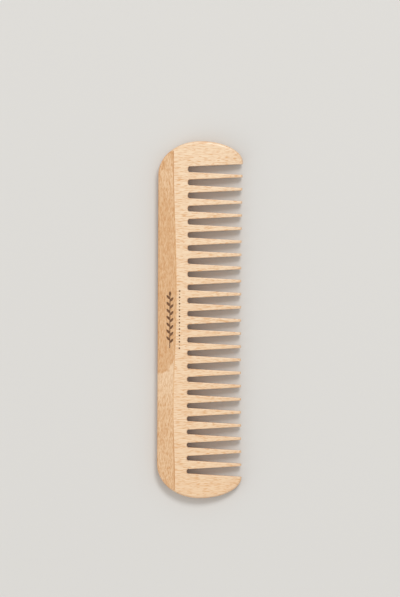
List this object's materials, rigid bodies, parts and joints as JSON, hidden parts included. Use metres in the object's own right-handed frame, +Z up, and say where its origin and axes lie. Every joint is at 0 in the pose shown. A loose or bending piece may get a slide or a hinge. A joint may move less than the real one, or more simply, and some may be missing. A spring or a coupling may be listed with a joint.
{
  "type": "hair comb",
  "caption": "Flat wide-toothed wooden hair comb with rounded ends, tapered teeth and a long-grain spine strip glued across the tooth plate.",
  "frame": {"origin": "middle of the comb's length and width, on the flat underside that it rests on", "axes": "+X from the back to the tooth tips, +Y along the back, +Z up through the thickness"},
  "size_m": [0.0414, 0.175, 0.006],
  "materials": {
    "plate_wood": "fine-sanded pale beech, oiled, grain along the teeth",
    "spine_wood": "fine-sanded darker beech, oiled, grain along the back",
    "dried_glue": "dried wood glue, sanded flush",
    "burnt_wood": "laser-burnt wood, dull brown"
  },
  "bodies": {
    "root": {"tooth_plate": "plate_wood", "spine_strip": "spine_wood", "glue_line": "dried_glue"}
  },
  "joints": []
}
